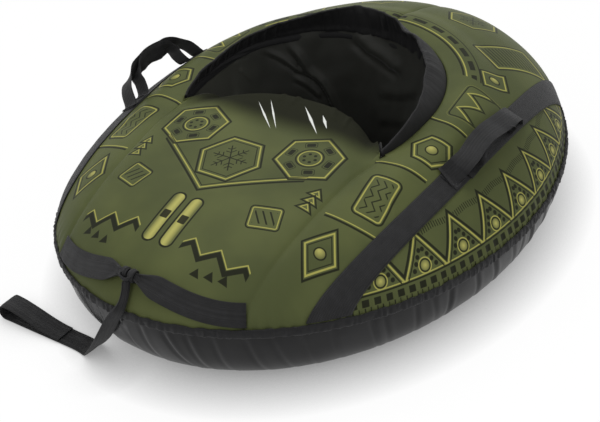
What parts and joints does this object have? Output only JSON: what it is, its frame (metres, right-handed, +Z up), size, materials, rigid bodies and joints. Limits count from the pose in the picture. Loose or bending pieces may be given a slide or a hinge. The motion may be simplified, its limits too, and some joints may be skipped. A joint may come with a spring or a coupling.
{
  "type": "snow tube",
  "caption": "Oval inflated snow tube with a printed cover, a deep seat well with a hemmed collar, webbing carrying handles and a tow strap with a hand loop.",
  "frame": {"origin": "centre of the body's box, on the ground under the tube", "axes": "+Y towards the back of the seat, -Y towards the tow end, +Z up"},
  "size_m": [0.8656, 1.1238, 0.322],
  "materials": {
    "printed_fabric": "olive printed coated fabric, satin",
    "black_coated_fabric": "black coated fabric, glossy",
    "black_cloth": "black plain-weave cloth, matt",
    "black_webbing": "black ribbed webbing, matt",
    "tube_rubber": "black rubber, matt",
    "valve_brass": "turned brass",
    "zip_nickel": "dark nickel plating",
    "zip_plastic": "black moulded plastic"
  },
  "bodies": {
    "root": {"top_panel_front": "printed_fabric", "top_panel_left": "printed_fabric", "top_panel_right": "printed_fabric", "bottom_cover": "black_coated_fabric", "edge_binding": "black_cloth", "seat_wall": "black_cloth", "seat_floor": "black_cloth", "seat_collar": "black_cloth", "collar_elastic": "black_cloth", "inner_tube": "tube_rubber", "valve_base": "tube_rubber", "valve_stem": "valve_brass", "valve_core": "valve_brass", "zip_tape_inner": "black_cloth", "zip_tape_outer": "black_cloth", "zip_coil": "zip_plastic", "side_strap_left": "black_webbing", "side_strap_right": "black_webbing", "handle_foot_left_front": "black_webbing", "handle_foot_left_rear": "black_webbing", "handle_foot_right_front": "black_webbing", "handle_foot_right_rear": "black_webbing", "bridle": "black_webbing"},
    "handle_left": {"handle_left": "black_webbing"},
    "handle_right": {"handle_right": "black_webbing"},
    "zip_slider": {"zip_slider": "zip_nickel"},
    "zip_pull": {"zip_pull": "zip_nickel"},
    "valve_cap": {"valve_cap": "zip_plastic"},
    "strap_upper": {"tow_hitch": "black_webbing", "tow_strap_upper": "black_webbing"},
    "strap_lower": {"tow_strap_lower": "black_webbing", "hand_loop": "black_webbing"}
  },
  "joints": [
    {"name": "handle_left_flop", "type": "hinge", "parent": "root", "child": "handle_left", "pos_m": [-0.33743, -0.02589, 0.23362], "axis": [-0.0143, 0.9991, 0.0388], "range_deg": [-35, 30]},
    {"name": "handle_right_flop", "type": "hinge", "parent": "root", "child": "handle_right", "pos_m": [0.33699, 0.03818, 0.23408], "axis": [-0.0173, 0.9998, -0.0038], "range_deg": [-30, 30]},
    {"name": "zip_run", "type": "hinge", "parent": "root", "child": "zip_slider", "pos_m": [0, 0.018, 0.2672], "axis": [0, -0.0785, 0.9969], "range_deg": [0, 58]},
    {"name": "pull_tab", "type": "hinge", "parent": "zip_slider", "child": "zip_pull", "pos_m": [-0.04992, 0.26003, 0.29071], "axis": [-0.2011, 0.9765, 0.0769], "range_deg": [0, 120]},
    {"name": "cap_lift", "type": "slide", "parent": "root", "child": "valve_cap", "axis": [0.4584, -0.6129, 0.6436], "range_m": [0, 0.011]},
    {"name": "tow_hitch_turn", "type": "hinge", "parent": "root", "child": "strap_upper", "pos_m": [0, -0.51888, 0.20293], "axis": [-1, 0, 0], "range_deg": [0, 150]},
    {"name": "tow_strap_fold", "type": "hinge", "parent": "strap_upper", "child": "strap_lower", "pos_m": [-0.1195, -0.529, 0.005], "axis": [0, 1, 0], "range_deg": [0, 38]}
  ]
}
